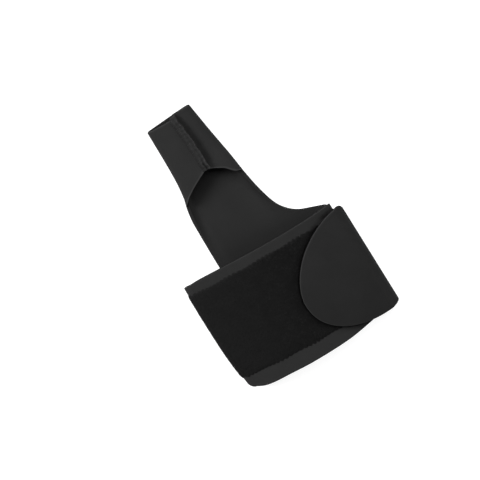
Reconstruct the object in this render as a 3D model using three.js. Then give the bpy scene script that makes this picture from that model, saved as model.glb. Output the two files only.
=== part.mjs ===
// Thumb spica splint: one die-cut sheet of jersey-faced foam, folded round an absent wrist and thumb.
// It is fastened on itself and lies empty on its back wall. Millimetres, +Z up, +Y along the thumb.
// While it is built, X 0 is the outside of the left fold and Y 0 that fold's upper corner.
import * as THREE from 'three';

// Layers
const sheetThickness = 2;
const loopThickness = 0.8;
const hookThickness = 1;
const looseGap = 0.3;

// Wrist cuff: the back wall on the table, the strap arching over it, the tab over the strap's end
const cuffWidth = 106;
const cuffHeight = 69.5;
const leftFoldLean = 2.5;
const leftFoldBow = 3.2;
const rightFoldLean = 1.4;
const rightFoldSkew = 3.4;
const crownRadius = 118;
const leftFoldRadius = 5;
const rightFoldRadius = 7.6;
const strapEndInset = 5.7;

// Loop field on the strap and hook patch under the tab
const loopFieldHeight = 60.4;
const loopFieldInset = 3.6;
const loopFieldSlope = 2.6;
const loopFieldBow = 1.3;
const loopFieldEndBorder = 6;
const loopFieldWrap = 0.6;
const hookPatchInset = 5;

// Round-ended closing tab
const tabReach = 49.4;
const tabRootInset = 3;
const tabTipDrop = 41.5;
const tabTopDrop = 2.2;
const tabUpperPower = 1.8;
const tabLowerPower = 2.2;
const tabTipBlunt = 2.2;
const foldRimDip = 5.6;
const foldRimRise = 1.4;

// Left fold's rims, as shares of the fold: where the upper one leaves the strap's height,
// and where the lower one meets the back wall's
const upperRimLeaves = 0.15;
const lowerRimMeets = 0.5;

// Thumb sleeve, rolled up from the panel above the back wall
const sleeveInset = 24;
const sleeveLean = 4.7;
const sleeveRootDrop = 1.5;
const shoulderRise = 0.4;
const mouthWidth = 30;
const mouthHeight = 93.6;
const mouthSkew = 2.0;
const sleeveFoldRadius = 5;
const ridgeHeight = 13;
const rightFlapReach = 1.3;
const curlStart = 0.06;
const archFoot = 0.468;
const archTop = 0.614;
const kneeShare = 0.75;

// Overlocked seam on top of the sleeve
const seamWidth = 4.2;
const seamRise = 2.3;
const seamLean = 1.1;
const seamWave = 0.25;
const seamWaveLength = 5.5;
const seamEndRise = 0.55;
const seamTaper = 0.09;
const seamRows = 30;
const flapEndInset = 0.75;

// Strap's rims, beyond the left fold's corners: across is a share of cuffWidth, the rest of cuffHeight
const strapRims = [
  { across: 0.00, upper: 0.028, lower: 0.014 },
  { across: 0.09, upper: 0.042, lower: 0.071 },
  { across: 0.25, upper: 0.045, lower: 0.078 },
  { across: 0.40, upper: 0.040, lower: 0.082 },
  { across: 0.65, upper: 0.028, lower: 0.074 },
  { across: 0.82, upper: 0.019, lower: 0.048 },
  { across: 0.95, upper: 0.019, lower: 0.028 },
];

// Right fold's upper rim from the back wall round to the tab: dip is a share of foldRimDip
const foldRim = [
  { along: 0.00, dip: 0.00 },
  { along: 0.08, dip: 0.20 },
  { along: 0.15, dip: 0.80 },
  { along: 0.22, dip: 1.00 },
  { along: 0.36, dip: 0.92 },
  { along: 0.50, dip: 0.78 },
  { along: 0.62, dip: 0.60 },
  { along: 0.74, dip: 0.20 },
  { along: 0.84, dip: 0.02 },
  { along: 1.00, dip: 0.00 },
];

// Sleeve's right side up its height: flare is the share of the way from the mouth's edge out to the cuff
const rightSide = [
  { up: 0.000, flare: 1.000 },
  { up: 0.030, flare: 0.800 },
  { up: 0.055, flare: 0.645 },
  { up: 0.095, flare: 0.510 },
  { up: 0.160, flare: 0.390 },
  { up: 0.270, flare: 0.300 },
  { up: 0.450, flare: 0.207 },
  { up: 0.600, flare: 0.157 },
  { up: 0.800, flare: 0.074 },
  { up: 1.000, flare: 0.000 },
];

// Sleeve's left side up its height: lean is a share of sleeveLean
const leftSide = [
  { up: 0.000, lean: 0.00 },
  { up: 0.340, lean: 0.00 },
  { up: 0.450, lean: 0.28 },
  { up: 0.530, lean: 0.68 },
  { up: 0.670, lean: 0.95 },
  { up: 1.000, lean: 1.00 },
];

// Rolled part of the sleeve: fold is a share of sleeveFoldRadius, left and right of ridgeHeight,
// and ridge is where the seam stands across the sleeve
const tubeForm = [
  { up: 0.468, fold: 1.00, left: 1.00, right: 1.00, ridge: 0.525 },
  { up: 0.614, fold: 0.96, left: 1.00, right: 0.95, ridge: 0.532 },
  { up: 0.760, fold: 0.88, left: 0.92, right: 0.80, ridge: 0.556 },
  { up: 1.000, fold: 0.72, left: 0.75, right: 0.62, ridge: 0.577 },
];

// Arch's two lips: left and right are how far each side has closed at a share of the arch's height
const archLips = [
  { opened: 0.0, left: 0.000, right: 0.000 },
  { opened: 0.2, left: 0.155, right: 0.270 },
  { opened: 0.4, left: 0.275, right: 0.400 },
  { opened: 0.6, left: 0.465, right: 0.520 },
  { opened: 0.8, left: 0.710, right: 0.735 },
  { opened: 1.0, left: 1.000, right: 1.000 },
];

// Seam's round top from right to left: aside is a share of seamWidth, rise of seamRise
const seamCrest = [
  { aside: 0.5, rise: 0.50 },
  { aside: 0.3, rise: 0.90 },
  { aside: 0.0, rise: 1.05 },
  { aside: -0.3, rise: 0.90 },
  { aside: -0.5, rise: 0.50 },
];

const half = sheetThickness / 2;
const quarterTurn = Math.PI / 2;
const tabLift = sheetThickness + loopThickness + hookThickness + 3 * looseGap;
const { lerp, clamp, smoothstep } = THREE.MathUtils;

// A table's column at a place between its rows, by cubic pieces whose slopes pass smoothly through the rows
function follow(table, key, column, place) {
  const last = table.length - 1;
  const at = clamp(place, table[0][key], table[last][key]);
  let row = 0;
  while (row < last - 1 && at > table[row + 1][key]) {
    row += 1;
  }
  const slope = (index) => {
    const before = table[Math.max(index - 1, 0)];
    const after = table[Math.min(index + 1, last)];
    return (after[column] - before[column]) / (after[key] - before[key]);
  };
  const [from, to] = [table[row], table[row + 1]];
  const span = to[key] - from[key];
  const t = (at - from[key]) / span;
  const stay = 2 * t ** 3 - 3 * t ** 2 + 1;
  const pull = (t ** 3 - 2 * t ** 2 + t) * slope(row) + (t ** 3 - t ** 2) * slope(row + 1);
  return stay * from[column] + (1 - stay) * to[column] + span * pull;
}

// The cuff's section at one height along the arm: arcs that run tangent into each other.
// Each arc has a centre, a radius to the sheet's middle and the outward direction's angle at both ends.
function cuffArcs(y) {
  const fall = Math.max(0, -y / cuffHeight);
  const left = leftFoldLean * fall ** leftFoldBow + half + leftFoldRadius;
  const right = cuffWidth + rightFoldLean * fall - half - rightFoldRadius;
  const leftZ = half + leftFoldRadius;
  const rightZ = half + rightFoldRadius;
  const tabRadius = crownRadius + tabLift;
  const toLeft = crownRadius - leftFoldRadius;
  const toRight = tabRadius - rightFoldRadius;
  const apart = Math.hypot(right - left, rightZ - leftZ);
  const ahead = (toLeft ** 2 - toRight ** 2 + apart ** 2) / (2 * apart);
  const below = Math.sqrt(toLeft ** 2 - ahead ** 2);
  const [ex, ez] = [(right - left) / apart, (rightZ - leftZ) / apart];
  const crown = { x: left + ex * ahead + ez * below, z: leftZ + ez * ahead - ex * below };
  const strapFrom = Math.acos((cuffWidth - strapEndInset - crown.x) / crownRadius);
  const strapTo = Math.atan2(leftZ - crown.z, left - crown.x);
  const tabFrom = Math.atan2(rightZ - crown.z, right - crown.x);
  const tabTo = Math.acos((cuffWidth - tabReach - crown.x) / tabRadius);
  const down = 3 * quarterTurn;
  return {
    strap: { centre: crown, radius: crownRadius, from: strapFrom, to: strapTo },
    leftFold: { centre: { x: left, z: leftZ }, radius: leftFoldRadius, from: strapTo, to: down },
    rightFold: {
      centre: { x: right, z: rightZ },
      radius: rightFoldRadius,
      from: down,
      to: tabFrom + 4 * quarterTurn,
    },
    tab: { centre: crown, radius: tabRadius, from: tabFrom, to: tabTo },
    backWall: { from: left, to: sleeveInset },
    sleeveRoot: { from: sleeveInset, to: right },
  };
}

// A place in the cuff's section: which stretch, the share along it, and how far outside the sheet's middle
function cuffPoint(stretch, share, y, lift) {
  const arc = cuffArcs(y)[stretch];
  const along = lerp(arc.from, arc.to, share);
  if (!arc.centre) {
    return [along, y, half - lift];
  }
  const reach = arc.radius + lift;
  return [arc.centre.x + reach * Math.cos(along), y, arc.centre.z + reach * Math.sin(along)];
}

// Half of the tab's height at a distance across, above or below its tip: a superellipse with two powers.
// The inset draws the same outline smaller.
function tabHalf(x, fullHalf, power, inset) {
  const root = cuffWidth - tabRootInset;
  const reach = tabReach - tabRootInset - inset;
  const out = clamp((root - x) / reach, 0, 1);
  const blunt = tabTipBlunt / (fullHalf - inset);
  return (fullHalf - inset) * Math.max((1 - out ** power) ** (1 / power), blunt);
}

const tabUpperHalf = tabTipDrop - tabTopDrop;
const tabLowerHalf = cuffHeight + rightFoldSkew - tabTipDrop;

// The cut's upper and lower edge at a share of one stretch of the cuff
function cuffRims(stretch, share) {
  const x = cuffPoint(stretch, share, -cuffHeight / 2, 0)[0];
  const across = x / cuffWidth;
  const bottom = -cuffHeight - rightFoldSkew * clamp(across, 0, 1);
  if (stretch === 'strap') {
    return {
      upper: cuffHeight * follow(strapRims, 'across', 'upper', across),
      lower: -cuffHeight * (1 + follow(strapRims, 'across', 'lower', across)),
    };
  }
  if (stretch === 'leftFold') {
    const strapEdge = cuffRims('strap', 1);
    return {
      upper: lerp(strapEdge.upper, -sleeveRootDrop, smoothstep(share, upperRimLeaves, 1)),
      lower: lerp(strapEdge.lower, -cuffHeight, smoothstep(share, 0, lowerRimMeets)),
    };
  }
  if (stretch === 'rightFold') {
    return {
      upper: lerp(shoulderRise, -tabTopDrop, share) - foldRimDip * follow(foldRim, 'along', 'dip', share),
      lower: bottom + foldRimRise * Math.sin(Math.PI * share),
    };
  }
  if (stretch === 'tab') {
    return {
      upper: -tabTipDrop + tabHalf(x, tabUpperHalf, tabUpperPower, 0),
      lower: -tabTipDrop - tabHalf(x, tabLowerHalf, tabLowerPower, 0),
    };
  }
  const shoulder = stretch === 'sleeveRoot' ? share : 0;
  return { upper: lerp(-sleeveRootDrop, shoulderRise, shoulder), lower: bottom };
}

const evenShares = (count) => Array.from({ length: count + 1 }, (_, k) => k / count);
const crowdedToEnd = (count) => evenShares(count).map((share) => Math.sin(share * quarterTurn));

// Straight for no turn, so the same arc formula serves a flat margin and a tight fold
const sinc = (angle) => (Math.abs(angle) < 1e-6 ? 1 : Math.sin(angle) / angle);

// One side of the sleeve's section, from the flat bottom outwards: it bends evenly over its turning
// length and runs straight on from there to its cut end. The knee is where the mesh's bend columns end.
function sleeveSide(up, outer, ridgeX, ridgeZ, lip) {
  const radius = sleeveFoldRadius * follow(tubeForm, 'up', 'fold', up);
  const inwards = Math.sign(ridgeX - outer);
  if (up < archFoot) {
    const margin = sleeveFoldRadius * quarterTurn;
    const curl = quarterTurn * smoothstep(up, curlStart, archFoot);
    const edge = outer + inwards * half * Math.sin(curl);
    const start = edge + inwards * margin * sinc(curl);
    const knee = kneeShare * margin;
    return { start, inwards, bend: curl / margin, turning: margin, knee, length: margin };
  }
  const centre = outer + inwards * (half + radius);
  const across = Math.abs(ridgeX - centre) - flapEndInset;
  const rise = ridgeZ - half - radius;
  const reach = Math.hypot(across, rise);
  const slope = Math.atan2(rise, across) - Math.asin(radius / reach);
  const turning = radius * (2 * quarterTurn - slope);
  const closed = turning + Math.sqrt(reach ** 2 - radius ** 2);
  const met = follow(archLips, 'opened', lip, (up - archFoot) / (archTop - archFoot));
  const length = lerp(radius * quarterTurn, closed, met);
  const knee = Math.min(turning, kneeShare * length);
  return { start: centre, inwards, bend: 1 / radius, turning, knee, length };
}

// Sleeve's section at a share of its height, with the outer edges and the two sides
function sleeveSection(up) {
  const mouthRight = sleeveInset + sleeveLean + mouthWidth;
  const rootRight = cuffPoint('sleeveRoot', 1, shoulderRise, 0)[0];
  const left = sleeveInset + sleeveLean * follow(leftSide, 'up', 'lean', up);
  const right = lerp(mouthRight, rootRight, follow(rightSide, 'up', 'flare', up));
  const ridgeX = lerp(left, right, follow(tubeForm, 'up', 'ridge', up));
  const ridge = (side) => ridgeHeight * follow(tubeForm, 'up', side, up);
  return {
    up,
    left,
    right,
    leftSide: sleeveSide(up, left, ridgeX, ridge('left'), 'left'),
    rightSide: sleeveSide(up, right, ridgeX, ridge('right'), 'right'),
    leftY: lerp(-sleeveRootDrop, mouthHeight, up),
    rightY: lerp(shoulderRise, mouthHeight + mouthSkew, up),
  };
}

// A place on one side: distance from where the bottom's flat ends, and how far outside the sheet's middle
function sidePoint(side, distance, lift) {
  const bent = clamp(distance, 0, side.turning);
  const turn = side.bend * bent;
  const chord = bent * sinc(turn / 2);
  const straight = distance - bent;
  const out = chord * Math.cos(turn / 2) + straight * Math.cos(turn);
  const up = chord * Math.sin(turn / 2) + straight * Math.sin(turn);
  const x = side.start - side.inwards * (out + lift * Math.sin(turn));
  return { x, z: half + up - lift * Math.cos(turn) };
}

// A place in the sleeve's section, on one side at a distance from where the bottom's flat ends
function sleevePoint(section, name, distance, lift) {
  const side = section[name];
  const { x, z } = sidePoint(side, distance, lift);
  const across = (x - section.left) / (section.right - section.left);
  const flap = name === 'rightSide' ? smoothstep(distance, 0, side.length) : 0;
  const reach = rightFlapReach * smoothstep(section.up, archTop, 1) * flap;
  return [x, lerp(section.leftY, section.rightY, across) + reach, z];
}

// The sleeve's columns in one section, from the left cut end round to the right one
function sleeveColumns({ leftSide: left, rightSide: right }) {
  const flat = right.start - left.start;
  return [
    ...evenShares(5).slice(0, -1).map((share) => ['leftSide', lerp(left.length, left.knee, share)]),
    ...evenShares(9).slice(0, -1).map((share) => ['leftSide', lerp(left.knee, 0, share)]),
    ...evenShares(8).slice(0, -1).map((share) => ['leftSide', -share * flat]),
    ...evenShares(9).slice(0, -1).map((share) => ['rightSide', lerp(0, right.knee, share)]),
    ...evenShares(5).map((share) => ['rightSide', lerp(right.knee, right.length, share)]),
  ];
}

// A closed solid between two skins that share their cells: each cell is a quad of point numbers,
// anticlockwise from outside, and every edge that only one cell has gets a wall
function solidBetween(outer, inner, cells) {
  const inside = outer.length;
  const triangles = [];
  const edges = new Map();
  for (const [a, b, c, d] of cells) {
    triangles.push([a, b, c], [a, c, d]);
    triangles.push([inside + c, inside + b, inside + a], [inside + d, inside + c, inside + a]);
    for (const [from, to] of [[a, b], [b, c], [c, d], [d, a]]) {
      edges.set(`${from} ${to}`, [from, to]);
    }
  }
  for (const [from, to] of edges.values()) {
    if (!edges.has(`${to} ${from}`)) {
      triangles.push([to, from, inside + from], [to, inside + from, inside + to]);
    }
  }
  const geometry = new THREE.BufferGeometry();
  const points = new Float32Array([...outer, ...inner].flat());
  geometry.setAttribute('position', new THREE.BufferAttribute(points, 3));
  geometry.setIndex(triangles.flat());
  geometry.computeVertexNormals();
  return geometry;
}

// Cells of a grid of columns and rows; number(column, row) gives a point's number
function gridCells(columns, rows, number) {
  const cells = [];
  for (let i = 0; i < columns; i += 1) {
    for (let j = 0; j < rows; j += 1) {
      cells.push([number(i, j), number(i, j + 1), number(i + 1, j + 1), number(i + 1, j)]);
    }
  }
  return cells;
}

// The sleeve's columns where they leave the cuff, as shares of the sleeve's root
function rootShares() {
  const root = sleeveSection(0);
  return sleeveColumns(root).map(([name, distance]) => {
    const [x] = sleevePoint(root, name, distance, 0);
    return (x - root.left) / (root.right - root.left);
  });
}

// Columns round the cuff, in order from the strap's cut end to the tab's tip
const cuffRows = 5;
const loopRows = 4;
const hookRows = 3;
const cuffStretches = [
  { stretch: 'strap', shares: evenShares(14) },
  { stretch: 'leftFold', shares: evenShares(9) },
  { stretch: 'backWall', shares: evenShares(3) },
  { stretch: 'sleeveRoot', shares: rootShares() },
  { stretch: 'rightFold', shares: evenShares(10) },
  { stretch: 'tab', shares: crowdedToEnd(11) },
];

// Rows up the sleeve as shares of its height, closest where its right side flares out to the cuff
const flareRows = [0.018, 0.036, 0.058, 0.085, 0.12, 0.16, 0.21, 0.27, 0.33, 0.38, 0.425];
const sleeveRows = [
  ...flareRows,
  ...evenShares(7).map((share) => lerp(archFoot, archTop, share)),
  ...evenShares(4).slice(1).map((share) => lerp(archTop, 1, share)),
];

// The whole die-cut sheet: the cuff's columns, and above the sleeve's root its rows go on to the mouth
function braceBody() {
  const columns = [];
  for (const { stretch, shares } of cuffStretches) {
    const fresh = columns.length ? shares.slice(1) : shares;
    fresh.forEach((share) => columns.push({ stretch, share }));
  }
  const firstRoot = columns.findIndex((column) => column.stretch === 'sleeveRoot') - 1;
  const skin = (lift) => {
    const points = [];
    for (const { stretch, share } of columns) {
      const { upper, lower } = cuffRims(stretch, share);
      for (const row of evenShares(cuffRows)) {
        points.push(cuffPoint(stretch, share, lerp(lower, upper, row), lift));
      }
    }
    for (const up of sleeveRows) {
      const section = sleeveSection(up);
      for (const [name, distance] of sleeveColumns(section)) {
        points.push(sleevePoint(section, name, distance, lift));
      }
    }
    return points;
  };
  const perColumn = cuffRows + 1;
  const sleeveFirst = columns.length * perColumn;
  const sleeveWide = rootShares().length - 1;
  const inCuff = (i, j) => i * perColumn + j;
  const inSleeve = (i, j) => {
    const above = sleeveFirst + (j - 1) * (sleeveWide + 1) + i;
    return j === 0 ? inCuff(firstRoot + i, cuffRows) : above;
  };
  const cells = [
    ...gridCells(columns.length - 1, cuffRows, inCuff),
    ...gridCells(sleeveWide, sleeveRows.length, inSleeve),
  ];
  return solidBetween(skin(half), skin(-half), cells);
}

// A layer on one side of the cuff, from its columns, its rims and the two faces' lifts
function cuffLayer(columns, rims, rows, outerLift, innerLift) {
  const skin = (lift) => columns.flatMap(({ stretch, share }) => {
    const { upper, lower } = rims(stretch, share);
    return evenShares(rows).map((row) => cuffPoint(stretch, share, lerp(lower, upper, row), lift));
  });
  const cells = gridCells(columns.length - 1, rows, (i, j) => i * (rows + 1) + j);
  return solidBetween(skin(outerLift), skin(innerLift), cells);
}

// Loop field: a strip of even height that slopes a little down to the right and wraps round the left fold
function loopField() {
  const innerLift = half + looseGap;
  const { strap } = cuffArcs(-cuffHeight / 2);
  const first = loopFieldEndBorder / (strap.radius * (strap.to - strap.from));
  const columns = [
    ...evenShares(12).map((share) => ({ stretch: 'strap', share: lerp(first, 1, share) })),
    ...evenShares(6).slice(1).map((share) => ({ stretch: 'leftFold', share: share * loopFieldWrap })),
  ];
  const rims = (stretch, share) => {
    const across = cuffPoint(stretch, share, -cuffHeight / 2, 0)[0] / cuffWidth;
    const upper = -loopFieldInset - loopFieldSlope * across;
    const bow = loopFieldBow * Math.sin(Math.PI * clamp(across, 0, 1));
    return { upper: upper + bow, lower: upper - loopFieldHeight };
  };
  return cuffLayer(columns, rims, loopRows, innerLift + loopThickness, innerLift);
}

// Hook patch: the tab's outline drawn smaller, on the face that meets the loop field
function hookPatch() {
  const outerLift = -half - looseGap;
  const { tab } = cuffArcs(-cuffHeight / 2);
  const inset = hookPatchInset / (tab.radius * (tab.to - tab.from));
  const rims = (stretch, share) => {
    const x = cuffPoint(stretch, share, -cuffHeight / 2, 0)[0];
    return {
      upper: -tabTipDrop + tabHalf(x, tabUpperHalf, tabUpperPower, hookPatchInset),
      lower: -tabTipDrop - tabHalf(x, tabLowerHalf, tabLowerPower, hookPatchInset),
    };
  };
  const shares = crowdedToEnd(8).map((share) => lerp(inset, 1 - inset, share));
  const columns = shares.map((share) => ({ stretch: 'tab', share }));
  return cuffLayer(columns, rims, hookRows, outerLift, outerLift - hookThickness);
}

// Raised seam: its underside follows both flaps with a gap, and its top is round, leans and waves
function thumbSeam() {
  const rings = evenShares(seamRows).map((along) => {
    const section = sleeveSection(lerp(archTop, 1, along));
    const overhang = seamWidth / 2 - flapEndInset;
    const seat = (name, inset) => {
      return sleevePoint(section, name, section[name].length - inset, half + looseGap);
    };
    const [outerLeft, left] = [seat('leftSide', overhang), seat('leftSide', 0)];
    const [right, outerRight] = [seat('rightSide', 0), seat('rightSide', overhang)];
    const length = (1 - archTop) * mouthHeight;
    const wave = seamWave * Math.sin((2 * Math.PI * along * length) / seamWaveLength);
    const taper = lerp(seamEndRise, 1, smoothstep(Math.min(along, 1 - along), 0, seamTaper));
    const middle = left.map((value, axis) => (value + right[axis]) / 2);
    const crest = seamCrest.map(({ aside, rise }) => [
      middle[0] + aside * seamWidth + (seamLean + wave) * rise,
      middle[1],
      Math.max(left[2], middle[2]) + rise * seamRise * taper,
    ]);
    return [outerLeft, left, right, outerRight, ...crest];
  });
  const around = rings[0].length;
  const triangles = [];
  for (let j = 0; j < seamRows; j += 1) {
    for (let i = 0; i < around; i += 1) {
      const next = (i + 1) % around;
      const [a, b] = [j * around + i, j * around + next];
      triangles.push([b, a, a + around], [b, a + around, b + around]);
    }
  }
  const lastRing = seamRows * around;
  for (let i = 1; i < around - 1; i += 1) {
    triangles.push([0, i, i + 1], [lastRing, lastRing + i + 1, lastRing + i]);
  }
  const geometry = new THREE.BufferGeometry();
  geometry.setAttribute('position', new THREE.BufferAttribute(new Float32Array(rings.flat(2)), 3));
  geometry.setIndex(triangles.flat());
  geometry.computeVertexNormals();
  return geometry;
}

function piece(name, geometry, color, roughness) {
  const material = new THREE.MeshStandardMaterial({ color, roughness, metalness: 0, flatShading: true });
  const mesh = new THREE.Mesh(geometry, material);
  mesh.name = name;
  return mesh;
}

const group = new THREE.Group();
group.add(piece('brace_body', braceBody(), 0x2c2c2e, 0.85));
group.add(piece('loop_field', loopField(), 0x1b1b1d, 0.95));
group.add(piece('hook_patch', hookPatch(), 0x202022, 0.8));
group.add(piece('thumb_seam', thumbSeam(), 0x343436, 0.9));

// The origin is the middle of the ground that the splint covers
const box = new THREE.Box3().setFromObject(group);
group.position.set(-(box.min.x + box.max.x) / 2, -(box.min.y + box.max.y) / 2, -box.min.z);
group.updateMatrixWorld(true);

export default group;
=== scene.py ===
"""Thumb spica splint: one die-cut sheet of jersey-faced foam, folded round an absent wrist and thumb.

Lengths are millimetres in the maker's own frame until a mesh is made: X 0 is the outside of the
left fold, Y 0 that fold's upper corner and z 0 the table. The sheet is lifted off its own middle
by a distance along its outward direction, so both of its faces come from the same formulas.
"""

import math

import bpy
import numpy as np
from mathutils import Matrix, Vector


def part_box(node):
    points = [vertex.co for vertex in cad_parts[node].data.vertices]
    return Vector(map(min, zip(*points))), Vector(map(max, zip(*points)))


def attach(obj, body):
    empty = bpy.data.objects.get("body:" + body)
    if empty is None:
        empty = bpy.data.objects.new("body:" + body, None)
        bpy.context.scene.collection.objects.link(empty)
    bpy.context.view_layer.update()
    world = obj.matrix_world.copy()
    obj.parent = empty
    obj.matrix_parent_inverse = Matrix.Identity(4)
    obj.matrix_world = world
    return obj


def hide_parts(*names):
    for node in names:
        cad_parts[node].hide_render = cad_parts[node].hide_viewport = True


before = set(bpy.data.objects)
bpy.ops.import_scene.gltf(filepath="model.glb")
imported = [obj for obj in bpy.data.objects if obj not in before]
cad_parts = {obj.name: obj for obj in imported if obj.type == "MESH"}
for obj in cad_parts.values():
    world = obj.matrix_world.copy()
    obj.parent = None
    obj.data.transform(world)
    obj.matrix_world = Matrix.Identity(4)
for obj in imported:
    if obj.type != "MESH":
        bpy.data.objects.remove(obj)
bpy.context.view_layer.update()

MM = 0.001
QUARTER_TURN = math.pi / 2

# Layers
SHEET = 2.0
HALF = SHEET / 2
LOOP = 0.8
HOOK = 1.0
GAP = 0.3
TAB_LIFT = SHEET + LOOP + HOOK + 3 * GAP

# Wrist cuff
CUFF_WIDTH = 106.0
CUFF_HEIGHT = 69.5
MIDDLE_Y = -CUFF_HEIGHT / 2
LEFT_FOLD_LEAN = 2.5
LEFT_FOLD_BOW = 3.2
RIGHT_FOLD_LEAN = 1.4
RIGHT_FOLD_SKEW = 3.4
CROWN_RADIUS = 118.0
LEFT_FOLD_RADIUS = 5.0
RIGHT_FOLD_RADIUS = 7.6
STRAP_END_INSET = 5.7
UPPER_RIM_LEAVES = 0.15
LOWER_RIM_MEETS = 0.5
FOLD_CORNER_SWELL = 0.7
FOLD_MIDDLE = -3.2
FOLD_SWELL_SPAN = 5.0
STRAP_FACE_END = -20.0
SHEET_UNEVEN = 0.16

# Loop field and hook patch
LOOP_HEIGHT = 60.4
LOOP_INSET = 3.6
LOOP_SLOPE = 2.6
LOOP_BOW = 1.3
LOOP_END_BORDER = 6.0
LOOP_WRAP = 0.6
LOOP_UNDER = HALF + 0.06
LOOP_GROUND = HALF + GAP + LOOP * 0.62
LOOP_SWELL_REACH = 3.2
LOOP_SHADE_LEFT = 1.5
LOOP_SHADE_RIGHT = -0.15
LOOP_FOLD_RUN = 8.0
LOOP_TOOTH = 2.9
LOOP_PITCH = 0.98
FOLD_LOOP_SWELL = 0.4
HOOK_INSET = 5.0
HOOK_CUT_RUN = 50.0

# Closing tab
TAB_REACH = 49.4
TAB_ROOT_INSET = 3.0
TAB_TIP_DROP = 41.5
TAB_TOP_DROP = 2.2
TAB_UPPER_POWER = 1.8
TAB_LOWER_POWER = 2.2
TAB_TIP_BLUNT = 2.2
TAB_UPPER_HALF = TAB_TIP_DROP - TAB_TOP_DROP
TAB_LOWER_HALF = CUFF_HEIGHT + RIGHT_FOLD_SKEW - TAB_TIP_DROP
FOLD_RIM_DIP = 5.6
FOLD_RIM_RISE = 1.4

# Thumb sleeve
SLEEVE_INSET = 24.0
SLEEVE_LEAN = 4.7
SLEEVE_ROOT_DROP = 1.5
SHOULDER_RISE = 0.4
MOUTH_WIDTH = 30.0
MOUTH_HEIGHT = 93.6
MOUTH_SKEW = 2.0
SLEEVE_FOLD_RADIUS = 5.0
RIDGE_HEIGHT = 13.0
RIGHT_FLAP_REACH = 1.3
LEFT_FOLD_REACH = 0.8
LEFT_FLAP_RECESS = 0.7
CURL_START = 0.06
ARCH_FOOT = 0.468
ARCH_TOP = 0.614
KNEE_SHARE = 0.75
FLAP_END_INSET = 0.75
LEFT_HOLLOW = 0.45
RIGHT_HOLLOW = 0.5
LEFT_HOLLOW_PLACE = 4.0
RIGHT_HOLLOW_PLACE = 3.8

# Seam on top of the sleeve
SEAM_WIDTH = 4.2
SEAM_RISE = 2.3
SEAM_LEAN = 1.1
SEAM_PEAK = 0.4
SEAM_WAVE = 0.32
SEAM_WAVE_LENGTH = 5.5
SEAM_CUT_WIDTH = 8.0
SEAM_CUT_LENGTH = 36.0
STITCHES = 13

# Strap's rims: across is a share of the cuff's width, upper and lower are shares of its height
STRAP_ACROSS = np.array([0.0, 0.09, 0.25, 0.40, 0.65, 0.82, 0.95])
STRAP_UPPER = np.array([0.028, 0.042, 0.045, 0.040, 0.028, 0.019, 0.019])
STRAP_LOWER = np.array([0.014, 0.071, 0.078, 0.082, 0.074, 0.048, 0.028])

# Right fold's upper rim from the back wall round to the tab: dip is a share of the fold rim's dip
FOLD_ALONG = np.array([0.0, 0.08, 0.15, 0.22, 0.36, 0.50, 0.62, 0.74, 0.84, 1.0])
FOLD_DIP = np.array([0.0, 0.20, 0.80, 1.00, 0.92, 0.78, 0.60, 0.20, 0.02, 0.0])

# Sleeve's sides up its height: the right one's flare out to the cuff, the left one's lean
RIGHT_UP = np.array([0.0, 0.03, 0.055, 0.095, 0.16, 0.27, 0.45, 0.6, 0.8, 1.0])
RIGHT_FLARE = np.array([1.0, 0.8, 0.645, 0.51, 0.39, 0.3, 0.207, 0.157, 0.074, 0.0])
LEFT_UP = np.array([0.0, 0.34, 0.45, 0.53, 0.67, 1.0])
LEFT_LEAN = np.array([0.0, 0.0, 0.28, 0.68, 0.95, 1.0])

# Rolled part: fold is a share of the fold radius, left and right of the ridge's height
TUBE_UP = np.array([0.468, 0.614, 0.76, 1.0])
TUBE_FOLD = np.array([1.0, 0.96, 0.88, 0.72])
TUBE_LEFT = np.array([1.0, 1.0, 0.92, 0.75])
TUBE_RIGHT = np.array([1.0, 0.95, 0.80, 0.62])
TUBE_RIDGE = np.array([0.525, 0.532, 0.556, 0.577])

# Arch's lips: how far each side has closed at a share of the arch's height
LIP_OPENED = np.array([0.0, 0.2, 0.4, 0.6, 0.8, 1.0])
LIP_LEFT = np.array([0.0, 0.155, 0.275, 0.465, 0.71, 1.0])
LIP_RIGHT = np.array([0.0, 0.27, 0.4, 0.52, 0.735, 1.0])

# Distances from a cut edge at which the mesh has a line, so that the edge can be rounded
RIM_STEPS = np.array([0.0, 0.12, 0.3, 0.6, 1.1, 1.9])
RIM_ROUNDING = 0.38
RIM_REACH = 0.6
WALL_BAND = 0.06

# How many lines the mesh has on each sleeve side's straight part, its bend and the flat between
SIDE_LINES = 12
BEND_LINES = 22
FLAT_LINES = 30

# Points whose distances to a cut edge are worked out at once
BATCH = 1500

# How pale each stretch's cut edge is, a paler cut edge topped up with painted highlight, and the
# painted light and shade on its face: at its start and end, what the cuff's upper rim adds, and
# what is taken off at the stretch's middle
EDGE_LIGHT = {
    "strap": 0.22, "left_fold": 0.2, "back_wall": 0.2, "sleeve_root": 0.2, "right_fold": 0.3, "tab": 0.45,
}
CUFF_PAINTED_SHADE = {
    "strap": (0.50, 0.62, -0.13, 0.0),
    "left_fold": (0.62, 0.5, 0.0, 0.0),
    "back_wall": (0.5, 0.2, 0.0, 0.0),
    "sleeve_root": (0.2, 0.2, 0.0, 0.0),
    "right_fold": (0.2, 0.2, 0.0, 0.28),
    "tab": (0.07, 0.07, 0.25, 0.0),
}
# Painted highlight on the inner face's cut edge, as a share of the outer one's, and painted light on the
# panel's right part
INNER_RIM_LIGHT = 0.15
PANEL_RIGHT_LIGHT = 0.12

# Knit, hooks and brushed tufts: widths in millimetres, and how narrow and pale the tufts are
WALE = 0.62
COURSE = 0.5
HOOK_ROW = 1.4
HOOK_STEP = 1.1
TUFT_NARROWNESS = 34.0
TUFT_LIGHT = 7.0
WHITE = (1.0, 1.0, 1.0, 1.0)


def lerp(start, end, share):
    """A share of the way from start to end."""
    return start + (end - start) * share


def joined(*parts):
    """Numbers of shapes that fit one another, side by side in one more axis, such as x, y and z."""
    return np.stack(np.broadcast_arrays(*parts), axis=-1)


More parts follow.
